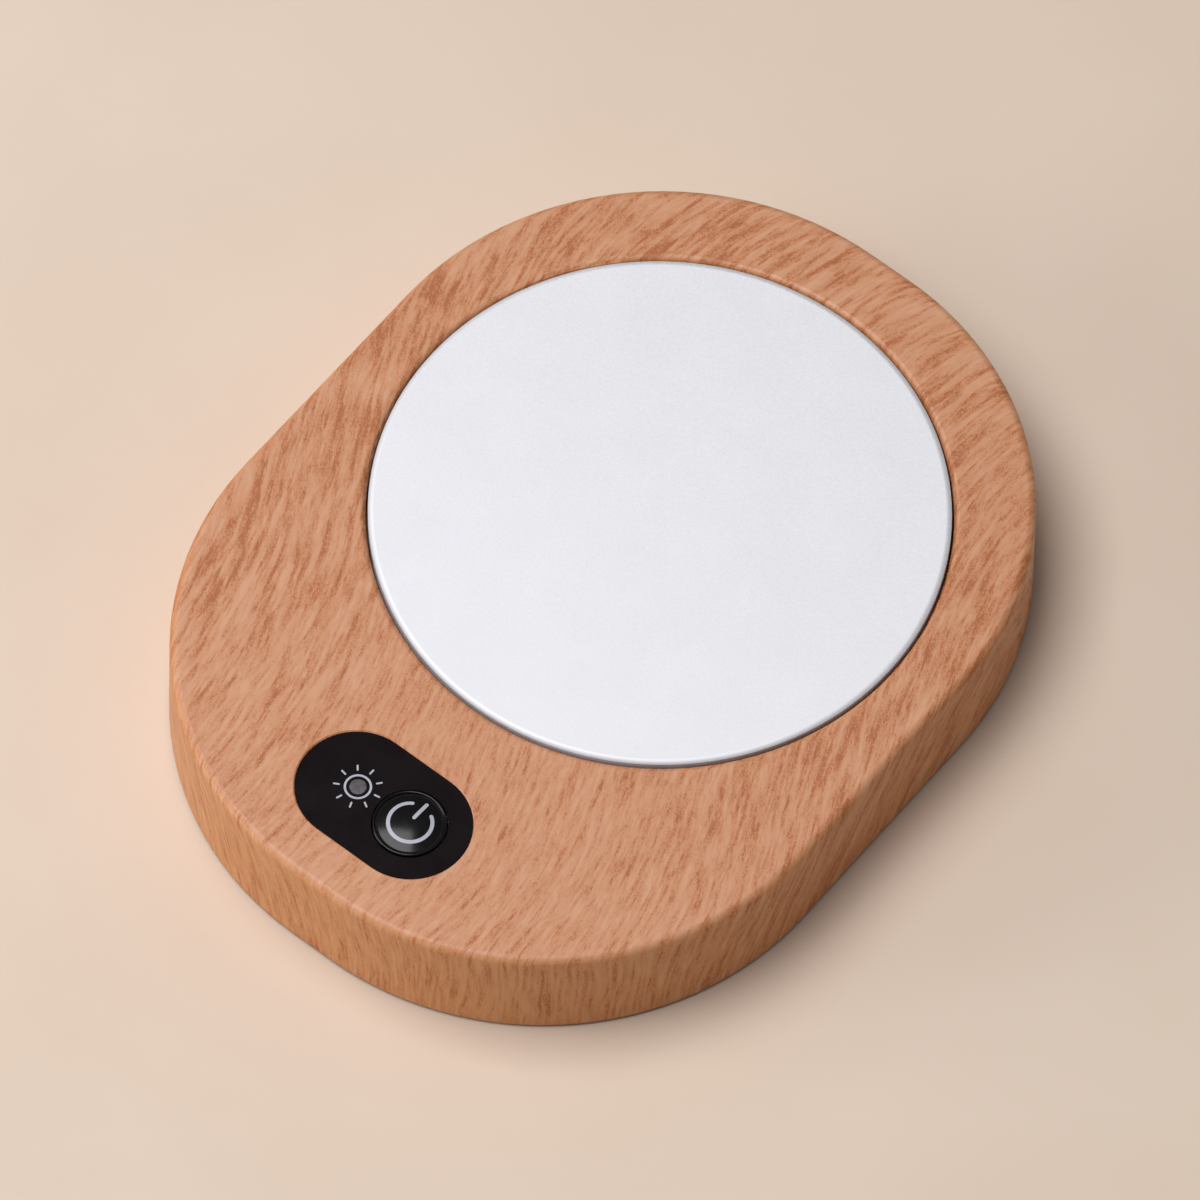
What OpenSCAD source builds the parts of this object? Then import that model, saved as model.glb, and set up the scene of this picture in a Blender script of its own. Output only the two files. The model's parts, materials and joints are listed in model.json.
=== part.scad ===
// Heated cup coaster: a low casing with a round hot plate and a small control panel.
// Millimetres. The origin is under the middle of the casing, on the surface that it stands on.
// +Z is up, +Y points to the hot plate's end, and the control panel is at the -Y end.

/* [Casing] */
// Length of the casing at its base; the hot plate's diameter follows it
casing_length = 143; // [138:0.2:156]
// Width of the casing at its base
casing_width = 111; // [110:0.2:120]
// Radius of the casing's corners in plan, at its base
corner_radius = 51.8; // [50:0.2:54]
// Height of the casing wall, from its lower edge to its top
casing_height = 19.1; // [18.5:0.1:24]
// Thickness of the casing wall
wall = 2.4; // [2:0.1:2.8]
// Thickness of the casing top
top_thickness = 2.6; // [2.2:0.1:3]
// How far the wall leans inwards from base to top
wall_lean = 0.3; // [0.1:0.05:0.6]
// Radius of the rounded top edge
edge_round = 1.4; // [1:0.1:2.4]

/* [Base] */
// Height of the casing's lower edge above the surface
foot_lift = 0.8; // [0.6:0.1:2]
// Diameter of a foot
foot_diameter = 12; // [11:0.5:14]
// Depth of the foot's recess in the cover
foot_recess = 1; // [0.6:0.1:1.2]
// Thickness of the bottom cover
cover_thickness = 2; // [1.8:0.1:2.4]
// Width of the casing's lip around the cover
cover_lip = 1.2; // [1:0.1:1.4]
// Distance of a cover screw from the casing's base outline
screw_inset = 9.3; // [9:0.1:11]
// Diameter of a cover screw's boss
boss_diameter = 7; // [6:0.2:7.4]

/* [Hot plate] */
// Length of the casing's control end, from its front end to the hot plate's edge
control_length = 40.1; // [38:0.1:44]
// Height of the hot plate above the casing top
plate_proud = 0.2; // [0:0.1:0.6]
// Thickness of the hot plate's disc
plate_thickness = 1.5; // [1.2:0.1:2]
// Depth of the hot plate, from its top to the foot of its skirt
plate_depth = 4.2; // [4:0.1:5]
// Width of the hot plate's rounded edge
plate_edge_width = 0.9; // [0.5:0.1:1.4]
// Height that the hot plate's rounded edge falls by
plate_edge_drop = 0.3; // [0.2:0.05:0.5]
// Gap between the hot plate and the casing
plate_gap = 0.35; // [0.25:0.05:0.6]
// Radius of the rounded edge of the casing's opening
rim_round = 1; // [0.5:0.1:1.5]
// Distance from the casing's rear end to the hot plate's edge
rear_margin = 12.7; // [12.4:0.1:15]

/* [Control panel] */
// Length of the panel's recess
panel_length = 29.8; // [29:0.2:33]
// Width of the panel's recess
panel_width = 19.2; // [18.4:0.2:20]
// Distance from the casing's front end to the panel's middle
panel_setback = 17.9; // [17.4:0.1:19]
// Depth of the panel's face below the casing top
panel_recess = 0.2; // [0.1:0.05:0.3]
// Thickness of the panel's sheet
overlay_thickness = 0.8; // [0.6:0.1:0.9]
// Distance of the lamp and of the button from the panel's middle
lamp_offset = 5.1; // [5:0.1:5.4]
// Diameter of the lamp's window
lamp_diameter = 2.64; // [2.4:0.04:3]
// Diameter of the button
button_diameter = 11.5; // [10.5:0.1:12]
// Height of the button's dome above the panel's face
button_rise = 0.42; // [0.3:0.02:0.6]
// Travel of the button
button_travel = 0.4; // [0.2:0.05:0.5]

/* [Inlet] */
// Width of the socket's shell
socket_width = 8.94; // [8.8:0.02:9.2]
// Height of the socket's shell
socket_height = 3.26; // [3.1:0.02:3.5]
// Length of the socket's shell
socket_length = 8.4; // [7.4:0.1:9.6]

/* [Hidden] */
$fn = 96;

// Length by which a cutting shape passes a face
pass = 1;
// Depth by which a boss or post is sunk into what carries it
root = 0.5;
// Slack around a screw's shank, and around its head
shank_slack = 0.1;
head_slack = 0.3;
// Width and length of a screw's cross recess, as shares of its head's radius
recess_share = [0.3, 1.1];

// Flats in the casing's rounded top edge
edge_steps = 8;

// Heights of the casing
rim_z = foot_lift;
cover_top = rim_z + cover_thickness;
shell_top = rim_z + casing_height;
under_z = shell_top - top_thickness;

// The casing's outline lies at corner_radius around this rectangle
spine_x = casing_width / 2 - corner_radius;
spine_y = casing_length / 2 - corner_radius;
spine = [[spine_x, spine_y], [-spine_x, spine_y], [-spine_x, -spine_y], [spine_x, -spine_y]];
// Direction in which the corner's arc starts, for each corner in turn
corner_start = [0, 90, 180, 270];

// Cover and feet
cover_gap = 0.15;
foot_slack = 0.2;
foot_edge_round = 0.4;
foot_top = rim_z + foot_recess;
cup_wall = 2;
cup_height = 4.2;
cup_top = cover_top + cup_height;
screw_places = [
    for (i = [0:3])
        let (a = corner_start[i] + 45)
            spine[i] + (corner_radius - screw_inset) * [cos(a), sin(a)]
];
// Screws are given by shank radius, head radius, head height and shank length
cover_screw = [1.25, 2.3, 1.5, 9.5];
head_sink = 0.2;
cover_head_top = foot_top + head_sink + cover_screw[2];

// Hot plate, which fills the casing's length behind the control end, and what hangs under it
plate_diameter = casing_length - rear_margin - control_length;
plate_r = plate_diameter / 2;
plate_y = casing_length / 2 - rear_margin - plate_r;
plate_top = shell_top + plate_proud;
plate_edge_r = (plate_edge_width ^ 2 + plate_edge_drop ^ 2) / (2 * plate_edge_drop);
plate_under = plate_top - plate_thickness;
skirt_bottom = plate_top - plate_depth;
skirt_wall = 1.6;
gasket_thickness = 1;
gasket_bottom = skirt_bottom - gasket_thickness;
ledge_thickness = 2;
ledge_bottom = gasket_bottom - ledge_thickness;
ledge_width = 4;
well_r = plate_r + plate_gap;
well_wall = 2.25;
rim_land = 0.2;
rim_r = well_r + rim_round + rim_land;
boss_clearance = 0.5;
ledge_r = plate_r - ledge_width;
clamp_thickness = 0.8;
clamp_bottom = ledge_bottom - clamp_thickness;
clamp_margin = 0.5;
clamp_r = plate_r - clamp_margin;
film_thickness = 0.5;
film_bottom = plate_under - film_thickness;
film_margin = 1.9;
film_r = plate_r - skirt_wall - film_margin;
pad_slack = 0.5;
pad_r = ledge_r - pad_slack;
post_inset = 17;
post_radius = 3;
post_slack = 0.4;
post_places = [for (a = [90, 210, 330]) [0, plate_y] + (plate_r - post_inset) * [cos(a), sin(a)]];
clamp_screw = [1.45, 2.75, 1.9, 4.6];
tap_spare = 0.3;

// Control panel
panel_y = panel_setback - casing_length / 2;
overlay_slack = 0.1;
adhesive_thickness = 0.1;
overlay_top = shell_top - panel_recess;
overlay_bottom = overlay_top - overlay_thickness;
seat_z = overlay_bottom - adhesive_thickness;
recess_chamfer = 0.2;
lamp_place = [-lamp_offset, panel_y];
button_place = [lamp_offset, panel_y];
lamp_r = lamp_diameter / 2;
guide_slack = 0.06;
guide_collar = 0.9;
guide_collar_height = 1;
button_r = button_diameter / 2;
button_slack = 0.2;
button_stop_gap = 0.1;
flange_width = 1.1;
flange_thickness = 0.9;
flange_top = under_z - button_stop_gap;
flange_bottom = flange_top - flange_thickness;
bead_r = 0.25;
bead_lift = 0.04;
moat_width = 0.35;
moat_floor = -0.06;

// Control board, placed so that the button's flange rests on the switch
switch_height = 5;
switch_side = 6;
board_thickness = 1.2;
board_top = flange_bottom - switch_height;
board_bottom = board_top - board_thickness;
board_width = 42;
board_front_reach = 10.4;
board_rear_reach = 16.4;
board_boss_r = 2.6;
board_screw = [0.95, 1.9, 1.2, 5.2];
board_screw_inset = 4;
board_half = board_width / 2;
board_front = panel_y - board_front_reach;
board_rear = panel_y + board_rear_reach;
board_places = [
    [board_screw_inset - board_half, board_front + board_screw_inset],
    [board_half - board_screw_inset, board_front + board_screw_inset],
    [0, board_rear - board_screw_inset]
];
lamp_package = [3.5, 2.8, 1.9];
guide_gap = 0.6;

// Parts on the board's underside: their places are measured in from the board's edges
chip_body = [4.9, 3.9, 1.5];
chip_leg = [0.42, 6, 0.25];
chip_legs = 4;
leg_pitch = 1.27;
chip_inset = [8, 10.4];
chip_place = [chip_inset[0] - board_half, board_front + chip_inset[1]];
transistor_body = [6.5, 6.1, 2.3];
transistor_inset = [7, 12.4];
transistor_place = [board_half - transistor_inset[0], board_front + transistor_inset[1]];
can_r = 2.5;
can_height = 5.4;
can_x = 4;
can_inset = 5.4;
resistor_body = [1.6, 0.8, 0.45];
resistor_insets = [5, 9];
resistor_inset = 8.4;

// Switch on the control board: the snap dome leaves room for the button's travel
switch_floor = 1.2;
switch_lid = 0.3;
switch_well_r = 2.6;
dome_r = 2.4;
dome_sheet = 0.12;
dome_spare = 0.3;
dome_play = 0.1;
dome_crown = button_travel + dome_spare;
plunger_r = 1.7;
plunger_flange_r = 2.2;
plunger_flange = 0.8;
plunger_slack = 0.15;
plunger_play = 0.2;
plunger_low = switch_floor + dome_crown + dome_play;
switch_wall_top = plunger_low + plunger_flange + plunger_play;

// Wires run straight from the terminals at one height
wire_drop = 2.6;
wire_z = board_bottom - wire_drop;
wire_pitch = 2.5;
wire_bend = 4;
power_wire_r = 0.75;
sensor_wire_r = 0.5;
sensor_x = wire_pitch / 2;
heater_x = sensor_x + wire_pitch;
power_x = heater_x + wire_pitch;
terminal_height = 5;
terminal_depth = 5;
terminal_margin = 1.75;
terminal_width = 2 * (power_x + terminal_margin);
terminal_inset = 7;
terminal_y = board_rear - terminal_inset;
lead_inset = 15;
lead_drop_y = plate_y - plate_r + lead_inset;
lead_slack = 2.5;
lead_slot = [2 * (heater_x + lead_slack), 22];
lead_slot_inset = 12;
lead_slot_y = plate_y - plate_r + lead_slot_inset;
sensor_hole_r = 3.2;
fuse_r = 1.9;
fuse_length = 9.5;
fuse_lead_r = 0.4;
fuse_bend = 1.2;
fuse_gap = 0.3;
fuse_z = film_bottom - fuse_gap - fuse_r;
fuse_tail = 0.8;
fuse_front = lead_drop_y + wire_bend + fuse_tail;
fuse_rear = fuse_front + fuse_length;
sensor_r = 1.9;
sensor_height = 3.6;
sensor_gap = 0.1;
sensor_bottom = film_bottom - sensor_gap - sensor_height;

// Inlet board and socket at the rear
inlet_rise = 2.5;
inlet_board_thickness = 1.2;
inlet_top = wire_z - inlet_rise;
inlet_bottom = inlet_top - inlet_board_thickness;
inlet_width = 22;
inlet_depth = 16.6;
inlet_rear_gap = 0.8;
inlet_rear = casing_length / 2 - wall - wall_lean - inlet_rear_gap;
inlet_front = inlet_rear - inlet_depth;
inlet_post_r = 2.6;
inlet_screw = [0.95, 1.9, 1.2, 2.6];
inlet_screw_inset = [3, 7.6];
inlet_places = [
    for (side = [-1, 1])
        [side * (inlet_width / 2 - inlet_screw_inset[0]), inlet_rear - inlet_screw_inset[1]]
];
inlet_terminal_setback = 1;
inlet_terminal_y = inlet_front + inlet_terminal_setback;
socket_wall = 0.3;
socket_recess = 0.7;
socket_gap = 0.25;
socket_mouth = casing_length / 2 - wall_lean - socket_recess;
socket_z = inlet_top + socket_height / 2;
socket_back = 1.6;
tongue_size = [6.69, 0.7];
tongue_setback = 0.6;
tongue_play = 0.05;

// Combs on the cover that hold the wires
comb_thickness = 3;
comb_over = 1.2;
comb_slack = 0.1;
front_comb_reach = 14;
rear_comb_reach = 16;
front_comb_y = terminal_y + front_comb_reach;
rear_comb_y = inlet_terminal_y - rear_comb_reach;

// Points along an arc about a centre, between two directions
function arc(centre, r, from, to, steps) = [
    for (i = [0:steps])
        let (a = from + (to - from) * i / steps)
            centre + r * [cos(a), sin(a)]
];

// A slice of a disc between two directions
module slice(r, from, to) {
    far = 2 * r;
    middle = (from + to) / 2;
    intersection() {
        circle(r);
        polygon([
            [0, 0],
            far * [cos(from), sin(from)],
            far * [cos(middle), sin(middle)],
            far * [cos(to), sin(to)]
        ]);
    }
}

// Sweeps an (outward, up) profile around the casing's spine, and fills the middle between two heights
module around_spine(low, high) {
    for (i = [0:3]) {
        after = spine[(i + 1) % 4];
        translate(spine[i])
            rotate(corner_start[i])
                rotate_extrude(angle = 90)
                    children();
        translate(after)
            rotate(corner_start[i] + 90)
                rotate([90, 0, 0])
                    linear_extrude(norm(after - spine[i]))
                        children();
    }
    translate([0, 0, low])
        linear_extrude(high - low)
            polygon(spine);
}

// Sweeps an (outward, up) profile around a straight line along X, as for a pill shape
module around_line(half_length) {
    for (turn = [0, 180])
        rotate(turn) {
            translate([half_length, 0, 0])
                rotate(-90)
                    rotate_extrude(angle = 180)
                        children();
            translate([half_length, 0, 0])
                rotate([90, 0, -90])
                    linear_extrude(2 * half_length)
                        mirror([1, 0])
                            children();
        }
}

// A pill-shaped plate that stands on z = 0
module pill(length, width, height) {
    around_line((length - width) / 2)
        square([width / 2, height]);
}

// A pill-shaped bar along Y that ends at y = 0
module pill_bar(length, width, height) {
    rotate([90, 0, 0])
        pill(width, height, length);
}

// A pan-head screw with its head's bearing face at z = 0 and its shank upwards
module screw(size) {
    recess_width = size[1] * recess_share[0];
    recess_length = size[1] * recess_share[1];
    cylinder(r = size[0], h = size[3]);
    difference() {
        translate([0, 0, -size[2]])
            cylinder(r = size[1], h = size[2]);
        for (turn = [0, 90])
            rotate(turn)
                translate([-recess_length / 2, -recess_width / 2, -size[2] - pass])
                    cube([recess_length, recess_width, size[2] / 2 + pass]);
    }
}

// Inward offset of the leaning wall's face from its foot, at a height
function lean_at(z) = wall_lean * (z - rim_z) / casing_height;

// Outer profile of the casing, with its rounded top edge
module casing_profile() {
    tilt = atan2(wall_lean, casing_height);
    round_z = shell_top - edge_round;
    round_x = corner_radius - lean_at(round_z) - edge_round / cos(tilt);
    polygon(concat(
        [[0, rim_z], [corner_radius, rim_z]],
        arc([round_x, round_z], edge_round, tilt, 90, edge_steps),
        [[0, shell_top]]
    ));
}

// Hollow of the casing, which follows the leaning wall
module hollow_profile() {
    low = rim_z - pass;
    polygon([
        [0, low],
        [corner_radius - wall - lean_at(low), low],
        [corner_radius - wall - lean_at(under_z), under_z],
        [0, under_z]
    ]);
}

// Casing without its fittings: hollow, with a seat for the cover inside its lower lip
module casing() {
    difference() {
        around_spine(rim_z, shell_top)
            casing_profile();
        around_spine(rim_z - pass, under_z)
            hollow_profile();
        around_spine(rim_z - pass, cover_top)
            translate([0, rim_z - pass])
                square([corner_radius - cover_lip, cover_thickness + pass]);
    }
}

// Ring of the plate's well: rounded rim, wall and ledge
module well_profile() {
    outer = well_r + well_wall;
    polygon([
        [well_r, gasket_bottom],
        [well_r, shell_top - rim_round],
        [well_r + rim_round, shell_top - rim_round],
        [well_r + rim_round, shell_top],
        [rim_r + root, shell_top],
        [rim_r + root, under_z + root],
        [outer, under_z + root],
        [outer, ledge_bottom],
        [ledge_r, ledge_bottom],
        [ledge_r, gasket_bottom]
    ]);
    translate([well_r + rim_round, shell_top - rim_round])
        slice(rim_round, 90, 180);
}

// The panel's recess, chamfered at its mouth
module recess_profile() {
    r = panel_width / 2;
    polygon([
        [0, seat_z],
        [r, seat_z],
        [r, shell_top - recess_chamfer],
        [r + recess_chamfer + pass, shell_top + pass],
        [0, shell_top + pass]
    ]);
}

module top_shell() {
    color("peru")
        difference() {
            union() {
                difference() {
                    casing();
                    translate([0, plate_y, under_z - pass])
                        cylinder(r = rim_r, h = top_thickness + 2 * pass);
                }
                translate([0, plate_y, 0])
                    rotate_extrude()
                        well_profile();
                for (p = screw_places)
                    difference() {
                        translate([p[0], p[1], cup_top])
                            cylinder(d = boss_diameter, h = under_z + root - cup_top);
                        translate([0, plate_y, cup_top - pass])
                            cylinder(r = well_r + boss_clearance, h = casing_height);
                    }
                for (p = board_places)
                    translate([p[0], p[1], board_top])
                        cylinder(r = board_boss_r, h = under_z + root - board_top);
            }
            translate([0, panel_y, 0])
                around_line((panel_length - panel_width) / 2)
                    recess_profile();
            translate([button_place[0], button_place[1], under_z - pass])
                cylinder(r = button_r + button_slack, h = top_thickness + pass);
            translate([lamp_place[0], lamp_place[1], under_z - pass])
                cylinder(r = lamp_r + guide_slack, h = top_thickness + pass);
            for (p = screw_places)
                translate([p[0], p[1], cup_top - pass])
                    cylinder(
                        r = cover_screw[0] + shank_slack,
                        h = cover_head_top + cover_screw[3] + tap_spare - cup_top + pass
                    );
            for (p = board_places)
                translate([p[0], p[1], board_top - pass])
                    cylinder(
                        r = board_screw[0] + shank_slack,
                        h = board_screw[3] - board_thickness + tap_spare + pass
                    );
            translate([0, casing_length / 2 + pass, socket_z])
                pill_bar(
                    wall + wall_lean + inlet_rear_gap + 2 * pass,
                    socket_width + 2 * socket_gap,
                    socket_height + 2 * socket_gap
                );
        }
}

module bottom_cover() {
    color("dimgray")
        difference() {
            union() {
                around_spine(rim_z, cover_top)
                    translate([0, rim_z])
                        square([corner_radius - cover_lip - cover_gap, cover_thickness]);
                for (p = screw_places)
                    translate([p[0], p[1], cover_top - root])
                        cylinder(r = cover_screw[1] + head_slack + cup_wall, h = cup_height + root);
                for (p = inlet_places)
                    translate([p[0], p[1], cover_top - root])
                        cylinder(r = inlet_post_r, h = inlet_bottom - cover_top + root);
                wire_comb(front_comb_y);
                wire_comb(rear_comb_y);
            }
            for (p = screw_places)
                translate([p[0], p[1], 0]) {
                    translate([0, 0, rim_z - pass])
                        cylinder(d = foot_diameter + 2 * foot_slack, h = foot_recess + pass);
                    translate([0, 0, foot_top - pass])
                        cylinder(r = cover_screw[1] + head_slack, h = cover_head_top - foot_top + pass);
                    translate([0, 0, cover_head_top - pass])
                        cylinder(r = cover_screw[0] + shank_slack, h = cup_top - cover_head_top + 2 * pass);
                }
            for (p = inlet_places)
                translate([p[0], p[1], inlet_top - inlet_screw[3] - tap_spare])
                    cylinder(r = inlet_screw[0] + shank_slack, h = inlet_screw[3] + tap_spare);
        }
}

// A comb that stands on the cover and takes every wire in an open slot
module wire_comb(y) {
    comb_top = wire_z + power_wire_r + comb_over;
    slot_r = power_wire_r + comb_slack;
    difference() {
        translate([-terminal_width / 2, y - comb_thickness / 2, cover_top - root])
            cube([terminal_width, comb_thickness, comb_top - cover_top + root]);
        for (side = [-1, 1])
            for (x = [sensor_x, heater_x, power_x])
                translate([side * x - slot_r, y - comb_thickness / 2 - pass, wire_z - slot_r])
                    cube([2 * slot_r, comb_thickness + 2 * pass, comb_top]);
    }
}

module foot(i) {
    r = foot_diameter / 2;
    color("dimgray")
        translate(screw_places[i])
            rotate_extrude() {
                polygon([
                    [0, 0],
                    [r - foot_edge_round, 0],
                    [r - foot_edge_round, foot_edge_round],
                    [r, foot_edge_round],
                    [r, foot_top],
                    [0, foot_top]
                ]);
                translate([r - foot_edge_round, foot_edge_round])
                    slice(foot_edge_round, 270, 360);
            }
}

module cover_screws() {
    color("silver")
        for (p = screw_places)
            translate([p[0], p[1], cover_head_top])
                screw(cover_screw);
}

// Hot plate: a shallow pan with a rounded edge and tapped posts
module heating_plate() {
    color("gainsboro")
        difference() {
            union() {
                translate([0, plate_y, 0])
                    rotate_extrude() {
                        polygon([
                            [0, plate_under],
                            [plate_r - skirt_wall, plate_under],
                            [plate_r - skirt_wall, skirt_bottom],
                            [plate_r, skirt_bottom],
                            [plate_r, plate_top - plate_edge_drop],
                            [plate_r - plate_edge_width, plate_top - plate_edge_drop],
                            [plate_r - plate_edge_width, plate_top],
                            [0, plate_top]
                        ]);
                        intersection() {
                            translate([plate_r - plate_edge_width, plate_top - plate_edge_r])
                                circle(plate_edge_r);
                            translate([plate_r - plate_edge_width, plate_top - plate_edge_drop])
                                square([plate_edge_width, plate_edge_drop]);
                        }
                    }
                for (p = post_places)
                    translate([p[0], p[1], ledge_bottom])
                        cylinder(r = post_radius, h = plate_under - ledge_bottom + root);
            }
            for (p = post_places)
                translate([p[0], p[1], ledge_bottom - pass])
                    cylinder(
                        r = clamp_screw[0] + shank_slack,
                        h = clamp_screw[3] - clamp_thickness + tap_spare + pass
                    );
        }
}

module plate_gasket() {
    color("darkred")
        translate([0, plate_y, gasket_bottom])
            difference() {
                cylinder(r = plate_r, h = gasket_thickness);
                translate([0, 0, -pass])
                    cylinder(r = ledge_r, h = gasket_thickness + 2 * pass);
            }
}

module heater_film() {
    color("orange")
        difference() {
            translate([0, plate_y, film_bottom])
                cylinder(r = film_r, h = film_thickness);
            post_holes(film_bottom, film_thickness);
        }
}

module post_holes(low, height) {
    for (p = post_places)
        translate([p[0], p[1], low - pass])
            cylinder(r = post_radius + post_slack, h = height + 2 * pass);
}

// Openings for the heater's and the sensor's wires
module lead_openings(low, height) {
    translate([-lead_slot[0] / 2, lead_slot_y, low - pass])
        cube([lead_slot[0], lead_slot[1], height + 2 * pass]);
    translate([0, plate_y, low - pass])
        cylinder(r = sensor_hole_r, h = height + 2 * pass);
}

module insulation_pad() {
    height = film_bottom - ledge_bottom;
    color("beige")
        difference() {
            translate([0, plate_y, ledge_bottom])
                cylinder(r = pad_r, h = height);
            post_holes(ledge_bottom, height);
            lead_openings(ledge_bottom, height);
        }
}

module clamp_plate() {
    color("silver")
        difference() {
            translate([0, plate_y, clamp_bottom])
                cylinder(r = clamp_r, h = clamp_thickness);
            for (p = post_places)
                translate([p[0], p[1], clamp_bottom - pass])
                    cylinder(r = clamp_screw[0] + shank_slack, h = clamp_thickness + 2 * pass);
            lead_openings(clamp_bottom, clamp_thickness);
        }
}

module clamp_screws() {
    color("silver")
        for (p = post_places)
            translate([p[0], p[1], clamp_bottom])
                screw(clamp_screw);
}

// A quarter bend of wire in the plane of Y and Z, about its own centre
module wire_quarter(from, bend, r) {
    rotate([90, 0, 90])
        rotate(from)
            rotate_extrude(angle = 90)
                translate([bend, 0])
                    circle(r);
}

// A straight wire along Y, between two values of y
module wire_along(from, to, r) {
    translate([0, max(from, to), 0])
        rotate([90, 0, 0])
            cylinder(r = r, h = abs(from - to));
}

// A wire that comes straight down at one y, bends, and runs forward into the terminal
module falling_wire(x, y, top, r) {
    translate([x, 0, 0]) {
        translate([0, y, wire_z + wire_bend])
            cylinder(r = r, h = top - wire_z - wire_bend);
        translate([0, y - wire_bend, wire_z + wire_bend])
            wire_quarter(-90, wire_bend, r);
        translate([0, 0, wire_z])
            wire_along(terminal_y, y - wire_bend, r);
    }
}

module thermal_fuse() {
    color("white")
        translate([-heater_x, 0, 0]) {
            translate([0, 0, fuse_z]) {
                wire_along(fuse_front, fuse_rear, fuse_r);
                wire_along(fuse_rear, fuse_rear + fuse_bend, fuse_lead_r);
            }
            translate([0, fuse_rear + fuse_bend, fuse_z + fuse_bend])
                wire_quarter(-90, fuse_bend, fuse_lead_r);
            translate([0, fuse_rear + 2 * fuse_bend, fuse_z + fuse_bend])
                cylinder(r = fuse_lead_r, h = film_bottom - fuse_z - fuse_bend);
        }
}

module thermistor() {
    color("black")
        translate([0, plate_y, sensor_bottom])
            cylinder(r = sensor_r, h = sensor_height);
}

module heater_leads() {
    color("red") {
        falling_wire(heater_x, lead_drop_y, film_bottom, power_wire_r);
        falling_wire(-heater_x, lead_drop_y, fuse_z - wire_bend, power_wire_r);
        translate([-heater_x, lead_drop_y + wire_bend, fuse_z - wire_bend])
            wire_quarter(90, wire_bend, power_wire_r);
        translate([-heater_x, 0, fuse_z])
            wire_along(lead_drop_y + wire_bend, fuse_front, power_wire_r);
    }
}

module sensor_leads() {
    color("white")
        for (side = [-1, 1])
            falling_wire(side * sensor_x, plate_y, sensor_bottom, sensor_wire_r);
}

module power_leads() {
    color("black")
        for (side = [-1, 1])
            translate([side * power_x, 0, wire_z])
                wire_along(terminal_y, inlet_terminal_y, power_wire_r);
}

// Glossy sheet of the control panel, with holes for the button and the lamp's window
module control_overlay() {
    color("black")
        translate([0, panel_y, overlay_bottom])
            panel_sheet(overlay_thickness);
}

module overlay_adhesive() {
    color("white")
        translate([0, panel_y, seat_z])
            panel_sheet(adhesive_thickness);
}

module panel_sheet(height) {
    difference() {
        pill(panel_length - 2 * overlay_slack, panel_width - 2 * overlay_slack, height);
        translate([lamp_offset, 0, -pass])
            cylinder(r = button_r + button_slack, h = height + 2 * pass);
        translate([-lamp_offset, 0, -pass])
            cylinder(r = lamp_r + guide_slack, h = height + 2 * pass);
    }
}

// Button: a flange under the casing top, a plug, a rounded rim and a low dome inside a shallow moat
module power_button() {
    dome_edge = button_r - 2 * bead_r - moat_width;
    floor_z = overlay_top + moat_floor;
    dome_height = overlay_top + button_rise - floor_z;
    dome_radius = (dome_edge * dome_edge + dome_height * dome_height) / (2 * dome_height);
    bead_z = overlay_top + bead_lift;
    color("black")
        translate(button_place)
            rotate_extrude() {
                polygon([
                    [0, flange_bottom],
                    [button_r + flange_width, flange_bottom],
                    [button_r + flange_width, flange_top],
                    [button_r, flange_top],
                    [button_r, bead_z],
                    [button_r - 2 * bead_r, bead_z],
                    [button_r - 2 * bead_r, floor_z],
                    [0, floor_z]
                ]);
                translate([button_r - bead_r, bead_z])
                    slice(bead_r, 0, 180);
                intersection() {
                    translate([0, floor_z + dome_height - dome_radius])
                        circle(dome_radius, $fn = 720);
                    translate([0, floor_z])
                        square([dome_edge + pass, dome_height + pass]);
                }
            }
}

module light_guide() {
    low = board_top + lamp_package[2] + guide_gap;
    color("lightgray")
        translate(lamp_place) {
            translate([0, 0, low])
                cylinder(r = lamp_r, h = overlay_top - low);
            translate([0, 0, under_z - guide_collar_height])
                cylinder(r = lamp_r + guide_collar, h = guide_collar_height);
        }
}

module control_board() {
    color("darkgreen")
        difference() {
            translate([-board_half, board_front, board_bottom])
                cube([board_width, board_rear - board_front, board_thickness]);
            for (p = board_places)
                translate([p[0], p[1], board_bottom - pass])
                    cylinder(r = board_screw[0] + shank_slack, h = board_thickness + 2 * pass);
        }
}

module board_screws() {
    color("silver")
        for (p = board_places)
            translate([p[0], p[1], board_bottom])
                screw(board_screw);
}

module indicator_lamp() {
    color("ivory")
        translate([lamp_place[0] - lamp_package[0] / 2, lamp_place[1] - lamp_package[1] / 2, board_top])
            cube(lamp_package);
}

module switch_base() {
    color("black")
        translate([button_place[0], button_place[1], board_top])
            difference() {
                translate([-switch_side / 2, -switch_side / 2, 0])
                    cube([switch_side, switch_side, switch_wall_top]);
                translate([0, 0, switch_floor])
                    cylinder(r = switch_well_r, h = switch_wall_top);
            }
}

module switch_cover() {
    color("silver")
        translate([button_place[0], button_place[1], board_top + switch_wall_top])
            difference() {
                translate([-switch_side / 2, -switch_side / 2, 0])
                    cube([switch_side, switch_side, switch_lid]);
                translate([0, 0, -pass])
                    cylinder(r = plunger_r + plunger_slack, h = switch_lid + 2 * pass);
            }
}

// Snap dome: a thin sprung disc, crowned towards the plunger
module switch_dome() {
    outer = (dome_r * dome_r + dome_crown * dome_crown) / (2 * dome_crown);
    color("silver")
        translate([button_place[0], button_place[1], board_top + switch_floor])
            rotate_extrude()
                intersection() {
                    translate([0, dome_crown - outer])
                        difference() {
                            circle(outer, $fn = 360);
                            circle(outer - dome_sheet, $fn = 360);
                        }
                    square([dome_r + pass, dome_crown + pass]);
                }
}

module switch_plunger() {
    color("dimgray")
        translate([button_place[0], button_place[1], board_top + plunger_low]) {
            cylinder(r = plunger_flange_r, h = plunger_flange);
            cylinder(r = plunger_r, h = switch_height - plunger_low);
        }
}

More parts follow.
